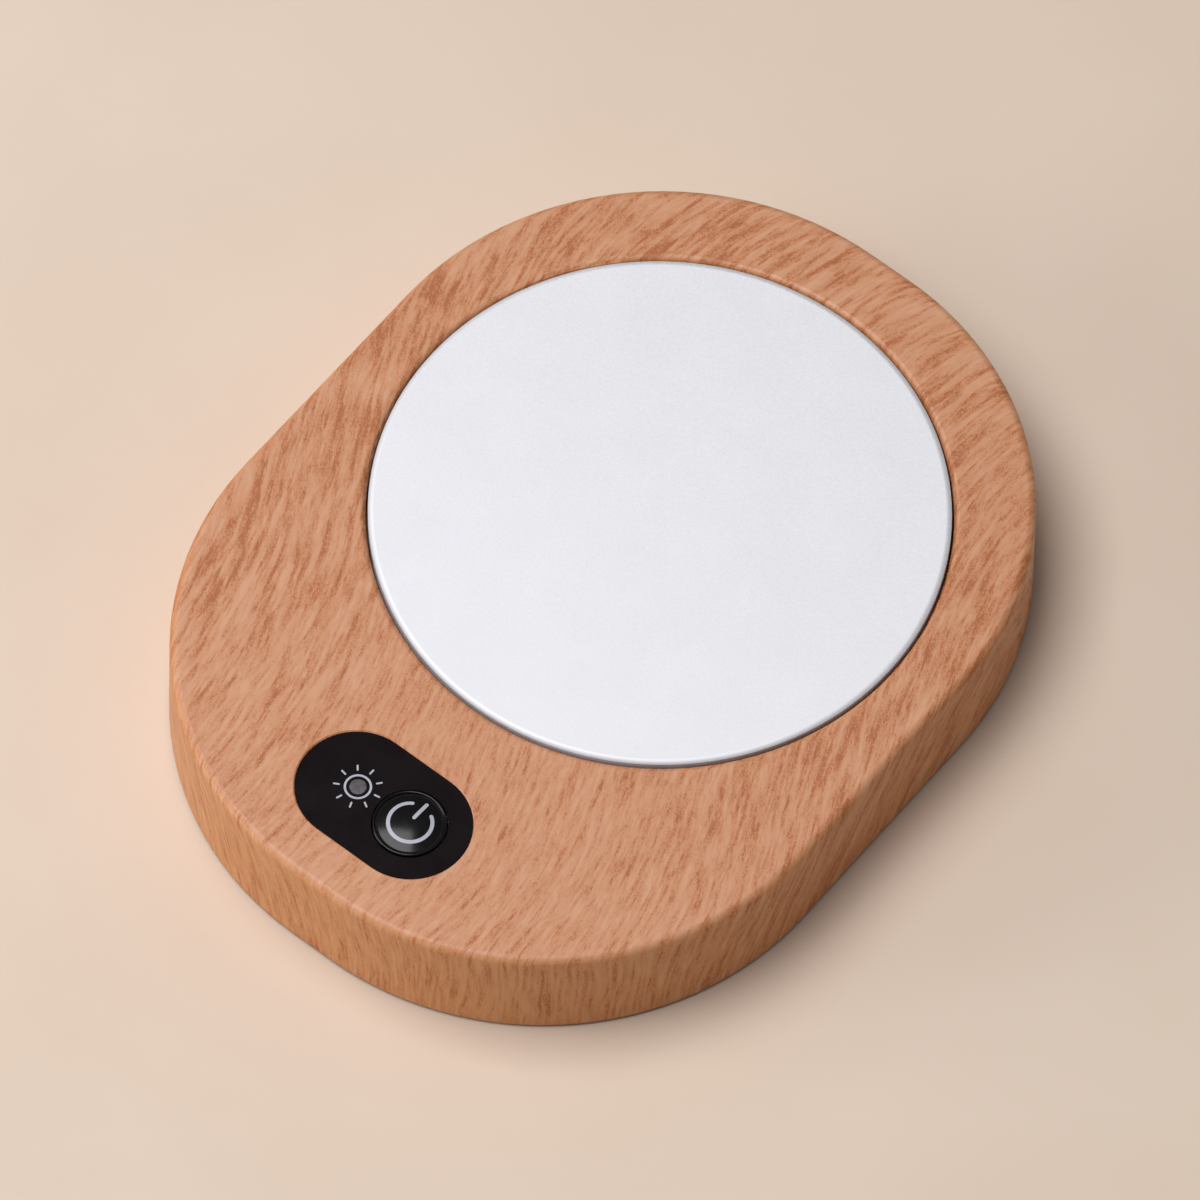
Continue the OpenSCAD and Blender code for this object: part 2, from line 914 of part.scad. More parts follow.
// A flat package on the underside of the control board, by its middle and size
module under_board(place, size) {
    translate([place[0] - size[0] / 2, place[1] - size[1] / 2, board_bottom - size[2]])
        cube(size);
}

module controller_chip() {
    color("black") {
        under_board(chip_place, chip_body);
        for (i = [0:chip_legs - 1])
            under_board(chip_place + [(i - (chip_legs - 1) / 2) * leg_pitch, 0], chip_leg);
    }
}

module power_transistor() {
    color("black")
        under_board(transistor_place, transistor_body);
}

module capacitors() {
    color("silver")
        for (side = [-1, 1])
            translate([side * can_x, board_front + can_inset, board_bottom - can_height])
                cylinder(r = can_r, h = can_height);
}

module resistors() {
    color("dimgray")
        for (side = [-1, 1])
            for (inset = resistor_insets)
                under_board([side * (board_half - inset), board_rear - resistor_inset], resistor_body);
}

// Terminal on the control board's underside that takes every wire at its rear face
module board_terminal() {
    color("white")
        translate([-terminal_width / 2, terminal_y - terminal_depth, board_bottom - terminal_height])
            cube([terminal_width, terminal_depth, terminal_height]);
}

module inlet_board() {
    color("darkgreen")
        difference() {
            translate([-inlet_width / 2, inlet_front, inlet_bottom])
                cube([inlet_width, inlet_depth, inlet_board_thickness]);
            for (p = inlet_places)
                translate([p[0], p[1], inlet_bottom - pass])
                    cylinder(r = inlet_screw[0] + shank_slack, h = inlet_board_thickness + 2 * pass);
        }
}

module inlet_screws() {
    color("silver")
        for (p = inlet_places)
            translate([p[0], p[1], inlet_top])
                mirror([0, 0, 1])
                    screw(inlet_screw);
}

module inlet_terminal() {
    color("white")
        translate([-terminal_width / 2, inlet_terminal_y, inlet_top])
            cube([terminal_width, terminal_depth, terminal_height]);
}

// Metal shell of the socket: a pill-shaped tube, closed at its inner end
module socket_shell() {
    color("silver")
        translate([0, socket_mouth, socket_z])
            difference() {
                pill_bar(socket_length, socket_width, socket_height);
                translate([0, pass, 0])
                    pill_bar(
                        socket_length - socket_wall + pass,
                        socket_width - 2 * socket_wall,
                        socket_height - 2 * socket_wall
                    );
            }
}

// Insulator in the socket: a block at the back and the contact tongue
module socket_tongue() {
    inner_end = socket_mouth - socket_length + socket_wall;
    color("black")
        translate([0, inner_end, socket_z]) {
            translate([0, socket_back, 0])
                pill_bar(
                    socket_back,
                    socket_width - 2 * socket_wall - 2 * tongue_play,
                    socket_height - 2 * socket_wall - 2 * tongue_play
                );
            translate([-tongue_size[0] / 2, 0, -tongue_size[1] / 2])
                cube([tongue_size[0], socket_length - socket_wall - tongue_setback, tongue_size[1]]);
        }
}

top_shell();
bottom_cover();
foot(0);  // foot_1
foot(1);  // foot_2
foot(2);  // foot_3
foot(3);  // foot_4
cover_screws();
heating_plate();
plate_gasket();
heater_film();
insulation_pad();
clamp_plate();
clamp_screws();
thermal_fuse();
thermistor();
control_overlay();
overlay_adhesive();
power_button();
light_guide();
control_board();
board_screws();
indicator_lamp();
switch_base();
switch_cover();
switch_dome();
switch_plunger();
controller_chip();
power_transistor();
capacitors();
resistors();
board_terminal();
inlet_board();
inlet_screws();
inlet_terminal();
socket_shell();
socket_tongue();
heater_leads();
sensor_leads();
power_leads();
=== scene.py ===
# Heated cup coaster: materials, printed marks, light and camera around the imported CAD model.
import json
import math

import bmesh
import bpy
from mathutils import Matrix, Vector


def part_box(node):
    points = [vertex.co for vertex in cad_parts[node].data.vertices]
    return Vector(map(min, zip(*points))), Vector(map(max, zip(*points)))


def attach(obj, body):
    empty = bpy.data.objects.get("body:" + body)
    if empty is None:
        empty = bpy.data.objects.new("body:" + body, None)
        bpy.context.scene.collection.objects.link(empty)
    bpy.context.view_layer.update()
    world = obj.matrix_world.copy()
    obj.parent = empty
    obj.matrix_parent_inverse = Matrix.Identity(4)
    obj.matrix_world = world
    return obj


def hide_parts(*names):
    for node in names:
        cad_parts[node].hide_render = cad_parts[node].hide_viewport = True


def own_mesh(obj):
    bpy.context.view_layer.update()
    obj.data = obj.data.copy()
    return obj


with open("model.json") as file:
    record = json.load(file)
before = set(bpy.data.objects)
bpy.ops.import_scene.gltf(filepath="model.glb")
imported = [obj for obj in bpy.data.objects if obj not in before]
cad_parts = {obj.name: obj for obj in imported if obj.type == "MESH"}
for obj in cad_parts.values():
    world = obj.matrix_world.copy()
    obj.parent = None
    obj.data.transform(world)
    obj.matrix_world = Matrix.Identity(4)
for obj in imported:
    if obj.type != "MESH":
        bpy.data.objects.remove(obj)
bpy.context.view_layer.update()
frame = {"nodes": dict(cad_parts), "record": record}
nodes = frame["nodes"]
MM = 0.001
WHITE = (1.0, 1.0, 1.0, 1.0)


# Colours are written as they look on screen and turned into linear values
def tone(r, g, b):
    def linear(c):
        c /= 255
        return c / 12.92 if c <= 0.04045 else ((c + 0.055) / 1.055) ** 2.4

    return (linear(r), linear(g), linear(b), 1.0)


# Fills in a shader node's inputs: sockets are linked and other values are set
def feed(tree, node, values):
    for name, value in values.items():
        if isinstance(value, bpy.types.NodeSocket):
            tree.links.new(value, node.inputs[name])
        else:
            node.inputs[name].default_value = value


def add(tree, kind, values=None, **settings):
    made = tree.nodes.new(kind)
    for name, value in settings.items():
        setattr(made, name, value)
    feed(tree, made, values or {})
    return made


def maths(tree, kind, a, b=0.0, c=0.0):
    return add(tree, "ShaderNodeMath", {0: a, 1: b, 2: c}, operation=kind).outputs[0]


def vectors(tree, kind, a, b=(0.0, 0.0, 0.0)):
    return add(tree, "ShaderNodeVectorMath", {0: a, 1: b}, operation=kind).outputs[0]


def noise(tree, where, scale, detail=2.0, rough=0.5):
    values = {"Vector": where, "Scale": scale, "Detail": detail, "Roughness": rough}
    return add(tree, "ShaderNodeTexNoise", values).outputs["Fac"]


def ramp(tree, value, stops):
    made = add(tree, "ShaderNodeValToRGB", {"Fac": value})
    marks = made.color_ramp.elements
    while len(marks) < len(stops):
        marks.new(0.5)
    for mark, (place, colour) in zip(marks, stops):
        mark.position = place
        mark.color = colour
    return made.outputs["Color"]


# Maps a value between start and stop to one between low and high
def spread(tree, value, low, high, start=0.3, stop=0.7):
    values = {"Value": value, "From Min": start, "From Max": stop, "To Min": low, "To Max": high}
    return add(tree, "ShaderNodeMapRange", values).outputs["Result"]


# Multiplies two colours
def blend(tree, a, b):
    values = {"Factor": 1.0, 6: a, 7: b}
    return add(tree, "ShaderNodeMix", values, data_type="RGBA", blend_type="MULTIPLY").outputs[2]


def bump(tree, height, depth_mm):
    values = {"Height": height, "Distance": depth_mm * MM}
    return add(tree, "ShaderNodeBump", values).outputs["Normal"]


# A new material with its tree, its shader, the place in millimetres and the normal
def material(name):
    made = bpy.data.materials.new(name)
    made.use_nodes = True
    tree = made.node_tree
    shader = tree.nodes["Principled BSDF"]
    place = add(tree, "ShaderNodeTexCoord").outputs
    where = vectors(tree, "MULTIPLY", place["Object"], (1 / MM,) * 3)
    return made, tree, shader, where, place["Normal"]


# A plain moulded, metal, sleeved or printed finish: two tones, uneven gloss and a fine relief
def finish(name, dark, light, rough, grain_mm, relief_mm, metal=0.0):
    made, tree, shader, where, _ = material(name)
    wide = noise(tree, where, 0.12 / grain_mm, 3.0, 0.55)
    fine = noise(tree, where, 1.0 / grain_mm, 3.0, 0.6)
    feed(tree, shader, {
        "Base Color": ramp(tree, wide, [(0.35, tone(*dark)), (0.65, tone(*light))]),
        "Roughness": spread(tree, fine, rough[0], rough[1]),
        "Metallic": metal,
        "Normal": bump(tree, fine, relief_mm),
    })
    return made


# The wood film's print, in millimetres. The film is drawn down over the walls by a share of the
# drop. The grain leans towards -X, most at y = -LEAN_SHIFT and the other way at the rear. It
# slants as it goes down a wall, and wavers. It is faint round a spot at the front right.
FILM_DRAW = 0.8
LEAN, LEAN_LOSS, LEAN_SHIFT = 0.47, -5.0e-5, 8.0
WALL_SLANT = -0.48
WAVER, WAVER_SCALE, WAVER_SHIFT = 4.5, 0.028, (60.0, 35.0, 0.0)
FAINT_SPOT, FAINT_FROM, FAINT_TO = (20.0, -48.0, 0.0), 16.0, 55.0
# The print is lighter towards both ends of the casing
GROUND_MIDDLE, GROUND_FROM, GROUND_TO = 5.0, 20.0, 60.0
# Layers of streaks: width, length, noise detail, noise roughness and seed
STREAKS = {
    "band": (1.4, 9.0, 2.0, 0.5, 1.7),
    "dash": (0.6, 1.8, 1.0, 0.5, 3.4),
    "line": (0.8, 6.0, 2.0, 0.5, 8.3),
    "thread": (0.5, 8.0, 1.0, 0.5, 5.2),
    "fibre": (0.5, 2.0, 2.0, 0.6, 4.1),
    "speckle": (0.2, 0.32, 2.0, 0.6, 6.6),
}
LINE_WEIGHT, BAND_WEIGHT, THREAD_WEIGHT, FIBRE_WEIGHT = 0.4, 0.35, 0.25, 0.17


def wood_film():
    made, tree, shader, where, normal = material("wood_film")
    shell_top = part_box("top_shell")[1].z / MM
    height = add(tree, "ShaderNodeSeparateXYZ", {0: where}).outputs["Z"]
    drop = maths(tree, "SUBTRACT", shell_top, height)
    outward = vectors(tree, "NORMALIZE", vectors(tree, "MULTIPLY", normal, (1.0, 1.0, 0.0)))
    drawn = {0: outward, "Scale": maths(tree, "MULTIPLY", drop, FILM_DRAW)}
    pull = add(tree, "ShaderNodeVectorMath", drawn, operation="SCALE").outputs[0]
    flat = vectors(tree, "MULTIPLY", where, (1.0, 1.0, 0.0))
    film = vectors(tree, "ADD", flat, pull)
    at = add(tree, "ShaderNodeSeparateXYZ", {0: film})
    x, y = at.outputs["X"], at.outputs["Y"]

    along = maths(tree, "ADD", y, LEAN_SHIFT)
    lean = maths(tree, "MULTIPLY_ADD", maths(tree, "MULTIPLY", along, along), LEAN_LOSS, LEAN)
    across = maths(tree, "MULTIPLY_ADD", along, lean, x)
    across = maths(tree, "MULTIPLY_ADD", drop, WALL_SLANT, across)
    waver = noise(tree, vectors(tree, "ADD", film, WAVER_SHIFT), WAVER_SCALE)
    across = maths(tree, "MULTIPLY_ADD", waver, WAVER, across)

    def streaks(layer):
        width, length, detail, rough, seed = STREAKS[layer]
        u = maths(tree, "DIVIDE", across, width)
        v = maths(tree, "DIVIDE", y, length)
        joined = add(tree, "ShaderNodeCombineXYZ", {"X": u, "Y": v, "Z": seed}).outputs[0]
        return maths(tree, "SUBTRACT", noise(tree, joined, 1.0, detail, rough), 0.5)

    # Bands in patches, thin lines broken into dashes, and a speckle that the dark parts show
    # most. A wall shows fainter bands and finer lines.
    wall = spread(tree, drop, 0.0, 1.0, 0.4, 2.0)
    away = add(tree, "ShaderNodeVectorMath", {0: film, 1: FAINT_SPOT}, operation="DISTANCE")
    patch = spread(tree, away.outputs["Value"], 0.25, 1.15, FAINT_FROM, FAINT_TO)
    cloud = spread(tree, noise(tree, film, 0.06, 1.0, 0.5), 0.6, 1.3, 0.35, 0.65)
    patch = maths(tree, "MULTIPLY", patch, cloud)
    patch = maths(tree, "MULTIPLY", patch, spread(tree, wall, 1.0, 0.4, 0.0, 1.0))
    band = maths(tree, "MULTIPLY", maths(tree, "SUBTRACT", streaks("band"), 0.05), patch)
    dash = spread(tree, streaks("dash"), 0.2, 1.5, -0.15, 0.15)
    line = streaks("line")
    thread = maths(tree, "MULTIPLY", streaks("thread"), wall)
    ends = maths(tree, "ABSOLUTE", maths(tree, "SUBTRACT", y, GROUND_MIDDLE))
    ground = spread(tree, ends, 0.504, 0.524, GROUND_FROM, GROUND_TO)
    broken = maths(tree, "MULTIPLY", line, dash)
    grain = maths(tree, "MULTIPLY_ADD", broken, LINE_WEIGHT, ground)
    grain = maths(tree, "MULTIPLY_ADD", band, BAND_WEIGHT, grain)
    grain = maths(tree, "MULTIPLY_ADD", thread, THREAD_WEIGHT, grain)
    grain = maths(tree, "MULTIPLY_ADD", streaks("fibre"), FIBRE_WEIGHT, grain)
    depth = spread(tree, grain, 0.4, 0.12, 0.42, 0.56)
    grain = maths(tree, "MULTIPLY_ADD", streaks("speckle"), depth, grain)
    colour = ramp(tree, grain, [
        (0.37, tone(174, 104, 65)),
        (0.43, tone(188, 120, 80)),
        (0.48, tone(201, 138, 100)),
        (0.54, tone(209, 151, 115)),
        (0.62, tone(214, 160, 127)),
    ])
    # Where it is drawn down over a wall, the print is yellower
    tint = ramp(tree, maths(tree, "MULTIPLY", drop, 0.1), [
        (0.01, WHITE),
        (0.08, (1.0, 0.96, 0.76, 1.0)),
        (0.3, (0.98, 0.92, 0.66, 1.0)),
    ])
    # The print's colour shifts a little between pink and yellow
    blush = ramp(tree, noise(tree, film, 0.9, 2.0, 0.6), [
        (0.38, (1.0, 0.975, 0.985, 1.0)),
        (0.62, (1.0, 1.0, 0.955, 1.0)),
    ])
    feed(tree, shader, {
        "Base Color": blend(tree, blend(tree, colour, blush), tint),
        "Roughness": spread(tree, line, 0.50, 0.40, -0.2, 0.2),
        "Specular IOR Level": 0.4,
        "Normal": bump(tree, noise(tree, where, 0.8), 0.012),
    })
    return made


# Blasted aluminium with a very fine, slightly uneven texture
def satin_aluminium():
    made, tree, shader, where, normal = material("satin_aluminium")
    fine = noise(tree, where, 2.6, 3.0, 0.6)
    drawn = noise(tree, vectors(tree, "MULTIPLY", where, (3.0, 0.35, 1.0)), 1.0)
    both = maths(tree, "MULTIPLY_ADD", drawn, 0.4, fine)
    cloud = noise(tree, where, 0.09, 3.0, 0.6)
    shade = maths(tree, "MULTIPLY_ADD", fine, 0.8, maths(tree, "MULTIPLY", cloud, 0.2))
    base = ramp(tree, shade, [(0.3, tone(235, 235, 239)), (0.7, tone(247, 247, 251))])
    # The rounded rim is rougher, and painted shade makes it a little darker the more it tilts
    up = add(tree, "ShaderNodeSeparateXYZ", {0: normal}).outputs["Z"]
    rim_shade = ramp(tree, up, [(0.8, (0.84, 0.84, 0.84, 1.0)), (0.98, WHITE)])
    rim = spread(tree, up, 0.24, 0.0, 0.85, 0.99)
    feed(tree, shader, {
        "Base Color": blend(tree, base, rim_shade),
        "Metallic": 1.0,
        "Roughness": maths(tree, "ADD", spread(tree, fine, 0.66, 0.76), rim),
        "Normal": bump(tree, both, 0.007),
    })
    return made


# Polished black plastic with faint wipe marks in its gloss
def black_gloss(name, dark, light, low, high):
    made, tree, shader, where, _ = material(name)
    cloud = noise(tree, where, 0.18, 3.0, 0.6)
    fine = noise(tree, where, 3.0)
    feed(tree, shader, {
        "Base Color": ramp(tree, cloud, [(0.3, tone(*dark)), (0.7, tone(*light))]),
        "Roughness": spread(tree, cloud, low, high),
        "Specular IOR Level": 0.28,
        "Normal": bump(tree, fine, 0.0006),
    })
    return made


# Plain finishes by slot: dark and light tone, roughness range, grain and relief in mm, metal
PLAIN = {
    "base_plastic": ((38, 36, 36), (46, 44, 43), (0.52, 0.68), 0.35, 0.02),
    "rubber": ((24, 24, 24), (32, 31, 31), (0.72, 0.88), 0.5, 0.02),
    "steel": ((178, 180, 184), (198, 199, 203), (0.26, 0.40), 0.4, 0.004, 1.0),
    "silicone": ((120, 44, 34), (136, 52, 40), (0.55, 0.7), 0.6, 0.01),
    "film": ((186, 104, 30), (208, 126, 46), (0.22, 0.34), 1.2, 0.006),
    "fibre": ((214, 208, 194), (234, 229, 217), (0.88, 1.0), 0.5, 0.12),
    "ceramic": ((224, 221, 213), (236, 233, 226), (0.3, 0.45), 0.6, 0.006),
    "adhesive": ((206, 205, 200), (216, 215, 211), (0.55, 0.7), 0.4, 0.006),
    "clear_plastic": ((62, 57, 62), (92, 86, 91), (0.34, 0.5), 0.09, 0.006),
    "board": ((14, 62, 36), (20, 76, 44), (0.3, 0.42), 0.8, 0.01),
    "black_plastic": ((24, 24, 24), (32, 32, 32), (0.4, 0.55), 0.3, 0.008),
    "white_plastic": ((226, 223, 214), (236, 233, 226), (0.36, 0.5), 0.4, 0.006),
    "plated_metal": ((196, 196, 196), (214, 214, 213), (0.2, 0.32), 0.3, 0.003, 1.0),
    "wire_red": ((150, 20, 16), (172, 28, 22), (0.36, 0.5), 0.5, 0.006),
    "wire_white": ((222, 220, 214), (234, 232, 227), (0.36, 0.5), 0.5, 0.006),
    "wire_black": ((20, 20, 20), (28, 28, 28), (0.36, 0.5), 0.5, 0.006),
}
looks = {slot: finish(slot, *row) for slot, row in PLAIN.items()}
looks["casing_film"] = wood_film()
looks["hot_plate"] = satin_aluminium()
looks["black_gloss"] = black_gloss("panel_gloss", (18, 12, 15), (24, 17, 19), 0.05, 0.11)
button_gloss = black_gloss("button_gloss", (10, 7, 8), (14, 10, 11), 0.12, 0.2)
print_look = finish("print", (173, 175, 187), (182, 184, 195), (0.34, 0.46), 0.3, 0.001)
for row in frame["record"]["subparts"]:
    skin = nodes[row["node"]].data.materials
    skin.clear()
    skin.append(button_gloss if row["node"] == "power_button" else looks[row["material_slot"]])


def mesh_from(shape, name):
    mesh = bpy.data.meshes.new(name)
    shape.to_mesh(mesh)
    shape.free()
    return mesh


def show(name, data):
    made = bpy.data.objects.new(name, data)
    bpy.context.scene.collection.objects.link(made)
    return made


# Puts a new mesh in the scene on a body
def piece(name, mesh, look, body):
    made = show(name, mesh)
    mesh.materials.clear()
    mesh.materials.append(look)
    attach(made, body)
    return made


SHARP = math.radians(25)


# Puts a reworked copy of a node in its place, with one unbroken surface over its rounded edges
def stand_in(shape, node, name, slot):
    for face in shape.faces:
        face.smooth = True
    for edge in shape.edges:
        edge.smooth = len(edge.link_faces) == 2 and edge.calc_face_angle() < SHARP
    made = piece(name, mesh_from(shape, name), looks[slot], "coaster")
    weigh = made.modifiers.new("even_shading", "WEIGHTED_NORMAL")
    weigh.keep_sharp = True
    weigh.weight = 100
    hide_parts(node)


def joined_copy(node):
    shape = bmesh.new()
    shape.from_mesh(nodes[node].data)
    bmesh.ops.remove_doubles(shape, verts=shape.verts, dist=1e-7)
    return shape


# The hot plate's rim as in the CAD, and the number of rings that it is drawn with
RIM_WIDTH, RIM_DEPTH, RIM_RINGS = 0.9 * MM, 0.3 * MM, 8


# The hot plate with its rounded rim in even rings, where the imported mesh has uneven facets
def warm_plate():
    low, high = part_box("heating_plate")
    middle = (low + high) / 2
    outer = (high.x - low.x) / 2
    bend = (RIM_WIDTH ** 2 + RIM_DEPTH ** 2) / (2 * RIM_DEPTH)
    shape = joined_copy("heating_plate")
    brink = high.z - RIM_DEPTH - 0.01 * MM
    old = [f for f in shape.faces if all(v.co.z > brink for v in f.verts)]
    bmesh.ops.delete(shape, geom=old, context="FACES")
    edge = [v for v in shape.verts if v.is_boundary]
    edge.sort(key=lambda v: math.atan2(v.co.y - middle.y, v.co.x - middle.x))
    rings = [edge]
    for k in range(1, RIM_RINGS + 1):
        lean = math.asin(RIM_WIDTH / bend) * (1 - k / RIM_RINGS)
        reach = outer - RIM_WIDTH + bend * math.sin(lean)
        z = high.z - bend * (1 - math.cos(lean))
        ring = []
        for v in edge:
            way = Vector((v.co.x - middle.x, v.co.y - middle.y)).normalized() * reach
            ring.append(shape.verts.new((middle.x + way.x, middle.y + way.y, z)))
        rings.append(ring)
    for a, b in zip(rings, rings[1:]):
        for i in range(len(edge)):
            j = (i + 1) % len(edge)
            shape.faces.new((a[i], a[j], b[j], b[i]))
    shape.faces.new(rings[-1])
    stand_in(shape, "heating_plate", "warm_plate", "hot_plate")


stand_in(joined_copy("top_shell"), "top_shell", "casing", "casing_film")
warm_plate()

# Places of the marks, from the CAD nodes
lamp_low, lamp_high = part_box("light_guide")
button_low, button_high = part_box("power_button")
panel_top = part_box("control_overlay")[1].z
lamp = (lamp_low + lamp_high) / 2
button = (button_low + button_high) / 2
# Half the thickness of the print
PRINT = 0.012 * MM
# Lamp mark: the ring's radius and line, and the rays' number, start, end and line
SUN_RADIUS, SUN_LINE, SUN_STEPS = 2.0 * MM, 0.35 * MM, 72
RAYS, RAY_START, RAY_STOP, RAY_LINE = 9, 2.8 * MM, 3.86 * MM, 0.29 * MM
# Power mark: the ring's radius, rise and gap, half of it in degrees, and the bar's ends
POWER_RADIUS, POWER_RISE, POWER_GAP, POWER_STEPS = 3.39 * MM, 0.12 * MM, 28, 90
BAR_START, BAR_STOP, POWER_LINE = 0.78 * MM, 4.43 * MM, 0.6 * MM
# The button's dome: its radius at the foot, and the foot's depth below the panel's top
DOME_RADIUS, DOME_FOOT = 4.9 * MM, 0.06 * MM
# A stroke's rows: the number in each round end, and the distance apart between the ends
END_ROWS, ROW_STEP = 8, 0.25 * MM


# One row of a printed line: two corners on each side, above and below the surface
def line_row(shape, p, side, height):
    row = []
    for q in (p + side, p - side):
        z = height(q)
        row.append(shape.verts.new((q.x, q.y, z + PRINT)))
        row.append(shape.verts.new((q.x, q.y, z - PRINT)))
    return row


def join_rows(shape, a, b):
    for j, k in ((0, 2), (2, 3), (3, 1), (1, 0)):
        shape.faces.new((a[j], a[k], b[k], b[j]))


# A closed line of even width through points
def hoop(shape, points, width, height):
    rows = []
    for i, p in enumerate(points):
        along = (points[(i + 1) % len(points)] - points[i - 1]).normalized()
        rows.append(line_row(shape, p, Vector((-along.y, along.x)) * width / 2, height))
    for i, row in enumerate(rows):
        join_rows(shape, row, rows[(i + 1) % len(rows)])


# A line through points whose width follows a half circle at each end
def stroke(shape, points, width, height):
    half = width / 2
    lengths = [0.0]
    for a, b in zip(points, points[1:]):
        lengths.append(lengths[-1] + (b - a).length)
    total = lengths[-1]

    # The point at a distance along the line, and the line's direction there
    def at(s):
        i = 0
        while i < len(points) - 2 and s > lengths[i + 1]:
            i += 1
        t = (s - lengths[i]) / (lengths[i + 1] - lengths[i])
        return points[i].lerp(points[i + 1], t), (points[i + 1] - points[i]).normalized()

    ends = [half - half * math.cos(math.pi / 2 * i / END_ROWS) for i in range(1, END_ROWS + 1)]
    steps = max(2, int((total - 2 * half) / ROW_STEP))
    inner = [half + (total - 2 * half) * i / steps for i in range(1, steps)]
    rows = []
    for s in ends + inner + [total - s for s in reversed(ends)]:
        end = min(s, total - s)
        wide = half if end >= half else math.sqrt(max(0.0, half * half - (half - end) ** 2))
        p, way = at(s)
        rows.append(line_row(shape, p, Vector((-way.y, way.x)) * wide, height))
    for a, b in zip(rows, rows[1:]):
        join_rows(shape, a, b)
    shape.faces.new([rows[0][j] for j in (0, 1, 3, 2)])
    shape.faces.new([rows[-1][j] for j in (2, 3, 1, 0)])


def arc(centre, radius, start, stop, count):
    angles = [math.radians(start + (stop - start) * i / count) for i in range(count + 1)]
    return [centre + radius * Vector((math.cos(a), math.sin(a))) for a in angles]


def printed(name, shape, body):
    bmesh.ops.recalc_face_normals(shape, faces=shape.faces)
    piece(name, mesh_from(shape, name), print_look, body)


# Lamp mark: a ring round the window and short rays
def sun_mark():
    shape = bmesh.new()
    centre = Vector((lamp.x, lamp.y))

    def level(q):
        return panel_top

    hoop(shape, arc(centre, SUN_RADIUS, 0, 360, SUN_STEPS)[:-1], SUN_LINE, level)
    for i in range(RAYS):
        a = math.radians(90 + 360 / RAYS * i)
        way = Vector((math.cos(a), math.sin(a)))
        stroke(shape, [centre + way * RAY_START, centre + way * RAY_STOP], RAY_LINE, level)
    printed("lamp_mark", shape, "coaster")


# Power mark on the button's dome: an open ring and a bar
def power_mark():
    shape = bmesh.new()
    centre = Vector((button.x, button.y))
    up = Vector((0, 1))
    rise = button_high.z - (panel_top - DOME_FOOT)
    ball = (DOME_RADIUS * DOME_RADIUS + rise * rise) / (2 * rise)

    def dome(q):
        r = (q - centre).length
        return button_high.z - ball + math.sqrt(ball * ball - r * r)

    ring = centre + up * POWER_RISE
    open_ring = arc(ring, POWER_RADIUS, 90 + POWER_GAP, 450 - POWER_GAP, POWER_STEPS)
    stroke(shape, open_ring, POWER_LINE, dome)
    stroke(shape, [centre + up * BAR_START, centre + up * BAR_STOP], POWER_LINE, dome)
    printed("power_mark", shape, "button")


# Contacts in the socket: the number on each face of its tongue, their pitch, size and bevel,
# and how far they stand off the tongue's middle and back from its mouth
CONTACTS, PITCH, CONTACT_BEVEL = 12, 0.5 * MM, 0.02 * MM
CONTACT_SIZE = (0.26 * MM, 3.6 * MM, 0.06 * MM)
CONTACT_OFFSET, CONTACT_SETBACK = 0.35 * MM, 2.1 * MM


def socket_contacts():
    low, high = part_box("socket_tongue")
    middle = (low.z + high.z) / 2
    size = Matrix.Diagonal((*CONTACT_SIZE, 1.0))
    shape = bmesh.new()
    for side in (-1, 1):
        for i in range(CONTACTS):
            x = (i - (CONTACTS - 1) / 2) * PITCH
            z = middle + side * CONTACT_OFFSET
            place = Matrix.Translation((x, high.y - CONTACT_SETBACK, z))
            strip = bmesh.ops.create_cube(shape, size=1.0, matrix=place @ size)
            edges = list({e for v in strip["verts"] for e in v.link_edges})
            bmesh.ops.bevel(shape, geom=edges, offset=CONTACT_BEVEL, segments=1, affect="EDGES")
    gold = finish("gold", (214, 168, 84), (226, 182, 100), (0.22, 0.34), 0.2, 0.002, 1.0)
    mesh = mesh_from(shape, "socket_contacts")
    piece("socket_contacts", mesh, gold, "coaster")


# The switch's snap dome as a copy of its own. On the real switch it flattens on its board as the
# button goes down.
def snap_dome():
    mesh = nodes["switch_dome"].data.copy()
    made = piece("snap_dome", mesh, looks["plated_metal"], "coaster")
    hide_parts("switch_dome")
    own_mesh(made)


sun_mark()
power_mark()
socket_contacts()
snap_dome()

# Half the floor's side in metres, and the strength of the world's light
FLOOR_HALF, WORLD_STRENGTH = 4.0, 0.19
# Lamps, which all aim at the origin: name, place and size in metres, power in watts
LAMPS = (
    ("overhead", (-0.25, -0.18, 1.0), (0.8, 0.62), 8.7),
    ("side", (-0.95, -0.9, 0.35), (0.7, 0.5), 6.1),
)
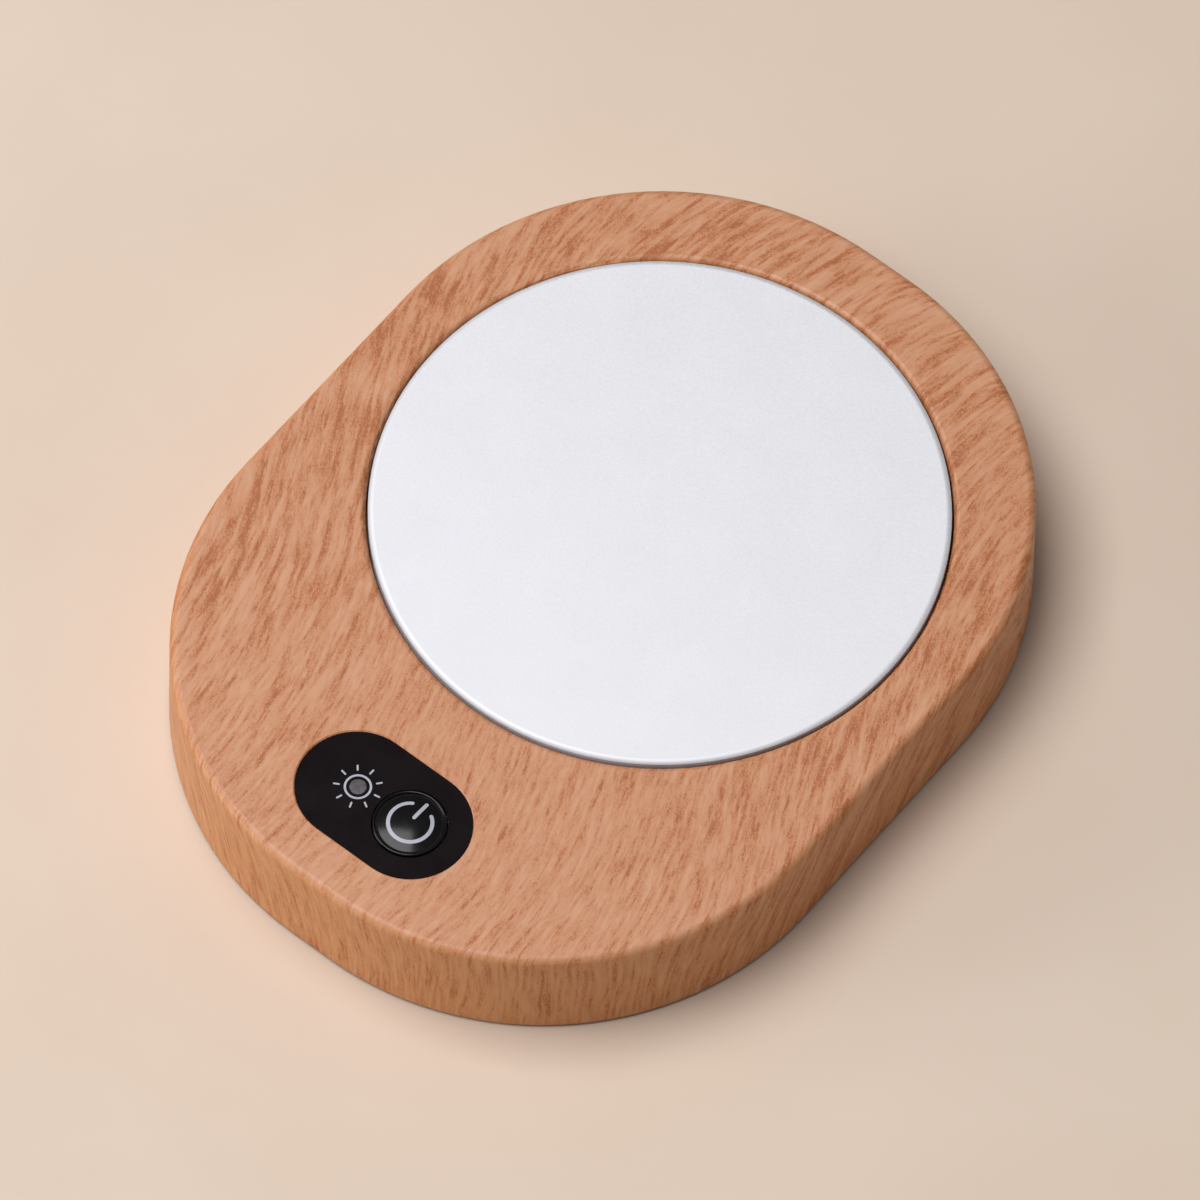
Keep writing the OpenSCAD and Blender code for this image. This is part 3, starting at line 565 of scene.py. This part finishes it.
# Camera: turn about the upright axis, height and roll in degrees, the point it looks at as a
# shift to the right and away from a base point in mm, the distance in mm, sensor and lens in mm
SPIN, RISE, ROLL = math.radians(37.66), math.radians(59.857), math.radians(-1.393)
AIM_BASE, AIM_RIGHT, AIM_AWAY, DISTANCE = (0, 13.7, 0.8), -8.912, -5.204, 2239.846
SENSOR, LENS, CLIP = 36.0, 432.66, (0.05, 50.0)


def stage_floor():
    shape = bmesh.new()
    bmesh.ops.create_grid(shape, x_segments=1, y_segments=1, size=FLOOR_HALF)
    made = show("floor", mesh_from(shape, "floor"))
    look = finish("floor", (227, 206, 187), (230, 210, 192), (0.6, 0.7), 8.0, 0.02)
    made.data.materials.append(look)


def light_up():
    world = bpy.data.worlds.new("studio")
    world.use_nodes = True
    back = world.node_tree.nodes["Background"]
    back.inputs["Color"].default_value = WHITE
    back.inputs["Strength"].default_value = WORLD_STRENGTH
    bpy.context.scene.world = world
    for name, place, size, power in LAMPS:
        data = bpy.data.lights.new(name, "AREA")
        data.shape = "RECTANGLE"
        data.size, data.size_y = size
        data.energy = power
        made = show(name, data)
        made.location = place
        made.rotation_mode = "QUATERNION"
        made.rotation_quaternion = (-Vector(place)).to_track_quat("-Z", "Y")


def look_from():
    right = Vector((math.cos(SPIN), math.sin(SPIN), 0))
    away = Vector((-math.sin(SPIN), math.cos(SPIN), 0))
    back = -away * math.cos(RISE) + Vector((0, 0, math.sin(RISE)))
    up = back.cross(right)
    target = right * AIM_RIGHT + away * AIM_AWAY + Vector(AIM_BASE)
    eye = (target + back * DISTANCE) * MM
    turned_right = right * math.cos(ROLL) - up * math.sin(ROLL)
    turned_up = right * math.sin(ROLL) + up * math.cos(ROLL)
    data = bpy.data.cameras.new("camera")
    data.sensor_width = SENSOR
    data.lens = LENS
    data.clip_start, data.clip_end = CLIP
    made = show("camera", data)
    turn = Matrix((turned_right, turned_up, back)).transposed()
    made.matrix_world = Matrix.Translation(eye) @ turn.to_4x4()
    bpy.context.scene.camera = made


stage_floor()
light_up()
look_from()
bpy.context.scene.view_settings.view_transform = "Standard"

bpy.context.view_layer.update()
